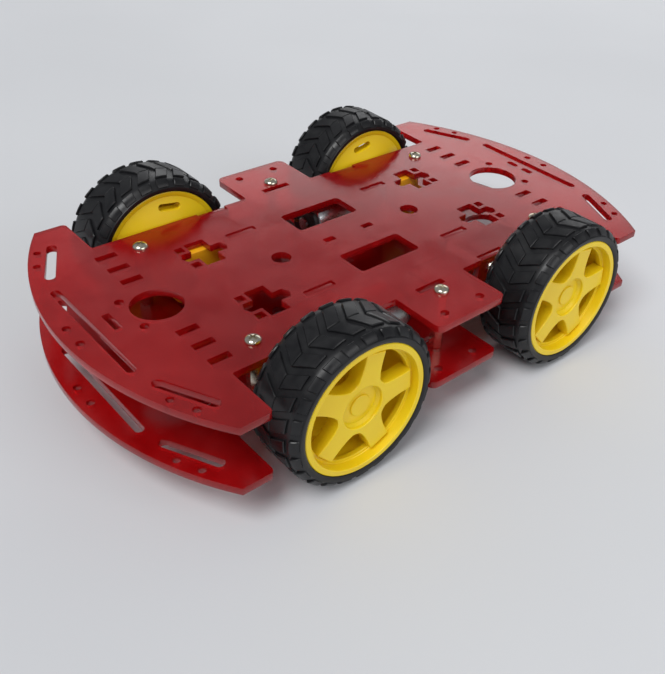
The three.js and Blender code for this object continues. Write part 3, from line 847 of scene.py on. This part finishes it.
TREAD_RADIUS = 32.5
SHOULDER = 4.5
TREAD_FLAT = 8.75
TREAD_DEPTH = 0.95
BLOCKS = 24
BLOCK_LENGTH = 5.6
BLOCK_SUNK = 1.3  # how deep a block goes into the tyre
BLOCK_LIP, BLOCK_CHAMFER = 0.3, 0.32
SLANT = math.radians(29)
CHEVRON_ROW = (0.1, 8.05)
SHOULDER_ROW = (10.3, 14.4)

# How deep the tyre's body lies under the tread's face, across from the sidewall to the middle.
BODY_DROPS = [
    (14.6, 0.15),
    (13.6, 0.55),
    (12.2, 0.85),
    (10.8, 0.95),
    (9.4, 0.95),
    (8.2, 0.95),
    (4, 0.92),
]


def tread_point(across, drop, angle):
    """A point of the tyre: across mm from its middle line and drop mm under the tread's face."""
    side, across = math.copysign(1, across), abs(across)
    lean = max(0.0, (across - TREAD_FLAT) / SHOULDER)
    r = TREAD_RADIUS - SHOULDER + (SHOULDER - drop) * math.cos(lean)
    z = min(across, TREAD_FLAT) + (SHOULDER - drop) * math.sin(lean)
    return Vector((r * math.cos(angle), r * math.sin(angle), side * z))


def tyre_body():
    half = [(26.2, 10.9), (26.95, 11.0), (26.95, 12.75), (27.3, 13.0), (28.2, 13.2), (29.0, 13.18)]
    for across, drop in BODY_DROPS:
        p = tread_point(across, drop, 0)
        half.append((p.x, p.z))
    middle = (TREAD_RADIUS - TREAD_DEPTH, 0)
    return lathe([*half, middle, *((r, -z) for r, z in half[::-1])], 144)


def add_block(bm, across, starts, steps=4):
    """A raised block between two distances from the middle line.

    It starts at starts[0] mm round the tyre at the first distance and at starts[1] at the second.
    """
    reach = across[1] - across[0]
    lip = BLOCK_LIP / abs(reach)
    rows = [0, lip] + [k / steps for k in range(1, steps)] + [1 - lip, 1]
    lip = BLOCK_LIP / BLOCK_LENGTH
    cols = [0, lip, 0.5, 1 - lip, 1]

    def grid(face_drop, border_drop):
        lines = []
        for v in rows:
            low = starts[0] + (starts[1] - starts[0]) * v
            line = []
            for u in cols:
                drop = border_drop if u in (0, 1) or v in (0, 1) else face_drop
                angle = (low + BLOCK_LENGTH * u) / TREAD_RADIUS
                line.append(bm.verts.new(tread_point(across[0] + reach * v, drop, angle)))
            lines.append(line)
        return lines

    outer, inner = grid(0, BLOCK_CHAMFER), grid(BLOCK_SUNK, BLOCK_SUNK)
    last_row, last_col = len(rows) - 1, len(cols) - 1
    for i in range(last_row):
        for j in range(last_col):
            for g in (outer, inner):
                bm.faces.new([g[i][j], g[i][j + 1], g[i + 1][j + 1], g[i + 1][j]])
    for i in range(last_row):
        for j in (0, last_col):
            bm.faces.new([outer[i][j], outer[i + 1][j], inner[i + 1][j], inner[i][j]])
    for j in range(last_col):
        for i in (0, last_row):
            bm.faces.new([outer[i][j], outer[i][j + 1], inner[i][j + 1], inner[i][j]])


def tyre():
    bm = bmesh.new()
    pitch = 2 * math.pi * TREAD_RADIUS / BLOCKS
    slope = math.tan(SLANT)
    for k in range(BLOCKS):
        start = pitch * k
        shoulder = start - slope * 10.2
        for side in (1, -1):
            row = (side * CHEVRON_ROW[0], side * CHEVRON_ROW[1])
            add_block(bm, row, (start, start - slope * CHEVRON_ROW[1]))
            row = (side * SHOULDER_ROW[0], side * SHOULDER_ROW[1])
            add_block(bm, row, (shoulder, shoulder - 0.6))
    bmesh.ops.recalc_face_normals(bm, faces=bm.faces)
    for face in bm.faces:
        face.smooth = True
    return joined(tyre_body(), bm)


# ---------------------------------------------------------------- the four corners

# For each corner its signs of x and y, and how far its wheel is turned, in degrees.
CORNERS = {
    "front_left": (1, 1, 5.5),
    "front_right": (1, -1, 99),
    "rear_left": (-1, 1, 42),
    "rear_right": (-1, -1, 259),
}
HALF_TURNS = {
    (1, 1): Matrix(),
    (1, -1): turn("X", 180),
    (-1, 1): turn("Y", 180),
    (-1, -1): turn("Z", 180),
}


def corner_shapes():
    can, end_cap, terminals = motor_parts()
    return {
        "outer": template(gearbox_half(1)),
        "inner": template(gearbox_half(-1)),
        "can": can,
        "end_cap": end_cap,
        "terminals": terminals,
        "bracket": template(bracket()),
        "screw": template(screw(MOTOR_SCREW_LENGTH)),
        "nut": template(motor_nut(), 25),
        "rim": template(wheel_rim(), 30),
        "tyre": template(tyre(), 40),
    }


def shift(x, y, z):
    """A move by millimetres, inside a corner's own frame."""
    return Matrix.Translation(Vector((x, y, z)) * MM)


def add_motor(name, own, shapes):
    for half in ("outer", "inner"):
        finish, cad = [GEARBOX, GEARBOX], [f"gearbox_{half}_{name}"]
        piece(f"housing_{half}_{name}", shapes[half], finish, "chassis", own, cad)
    piece(f"can_{name}", shapes["can"], [STEEL, STEEL], "chassis", own, [f"motor_{name}"])
    piece(f"can_cap_{name}", shapes["end_cap"], [CAP, CAP], "chassis", own)
    piece(f"terminals_{name}", shapes["terminals"], [BRASS, BRASS], "chassis", own)


def add_brackets(name, own, shapes):
    for side, y in (("outer", BRACKET_OUTER_Y), ("inner", BRACKET_INNER_Y)):
        at = own @ shift(-BRACKET_BACK, y - MOTOR_Y, 0)
        cad = [f"bracket_{side}_{name}"]
        piece(f"tab_plate_{side}_{name}", shapes["bracket"], BRACKET, "chassis", at, cad)
    clamp = HALF_THICKNESS + BRACKET_THICKNESS
    for height, sz in (("upper", 1), ("lower", -1)):
        z = sz * SCREW_SPACING / 2
        at = own @ shift(-BRACKET_BACK, clamp, z) @ OUTWARD
        long_screw, cad = shapes["screw"], [f"motor_screw_{height}_{name}"]
        piece(f"long_panhead_{height}_{name}", long_screw, [NICKEL], "chassis", at, cad)
        at = own @ shift(-BRACKET_BACK, -clamp, z)
        finish = [NICKEL, NICKEL]
        piece(f"hex_nut_{height}_{name}", shapes["nut"], finish, "chassis", at)


def add_wheel(name, at, shapes):
    wheel = f"wheel_{name}"
    piece(f"spoked_rim_{name}", shapes["rim"], [RIM, RIM], wheel, at, [f"rim_{name}"])
    finish = [RUBBER, RUBBER]
    piece(f"tread_tyre_{name}", shapes["tyre"], finish, wheel, at, [f"tyre_{name}"])
    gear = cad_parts[f"output_gear_{name}"]
    gear.data.materials.clear()
    gear.data.materials.append(NYLON)


def add_corners():
    shapes = corner_shapes()
    for name, (sx, sy, wheel_turn) in CORNERS.items():
        wheel_low, wheel_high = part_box(f"tyre_{name}")
        wheel_at = (wheel_low + wheel_high) / 2
        motor_at = Vector((wheel_at.x, sy * MOTOR_Y * MM, wheel_at.z))
        half_turn = HALF_TURNS[sx, sy]
        own = Matrix.Translation(motor_at) @ half_turn
        add_motor(name, own, shapes)
        add_brackets(name, own, shapes)
        turned = Matrix.Translation(wheel_at) @ half_turn @ OUTWARD @ turn("Z", wheel_turn)
        add_wheel(name, turned, shapes)


# ---------------------------------------------------------------- the scene


FLOOR_SIZE = 40


def add_floor():
    bm = bmesh.new()
    bmesh.ops.create_grid(bm, x_segments=4, y_segments=4, size=FLOOR_SIZE)
    data = bpy.data.meshes.new("floor")
    bm.to_mesh(data)
    bm.free()
    data.materials.append(floor_finish())
    floor = bpy.data.objects.new("floor", data)
    bpy.context.scene.collection.objects.link(floor)


bpy.context.scene.view_settings.view_transform = "Standard"
add_camera()
add_floor()
add_world((0.86, 0.89, 0.94), 0.3)
add_sun((0.55, 0.15, 0.95), 2.1, 30)
add_light("fill", (-0.2, 1.1, 0.6), (0, 0, 0.03), (0.9, 0.6), 4.5)
add_light("sheen", (-0.9, -0.9, 0.5), (-0.05, -0.03, 0.04), (1.4, 0.35), 2.4)

add_plates()
add_posts()
add_corners()
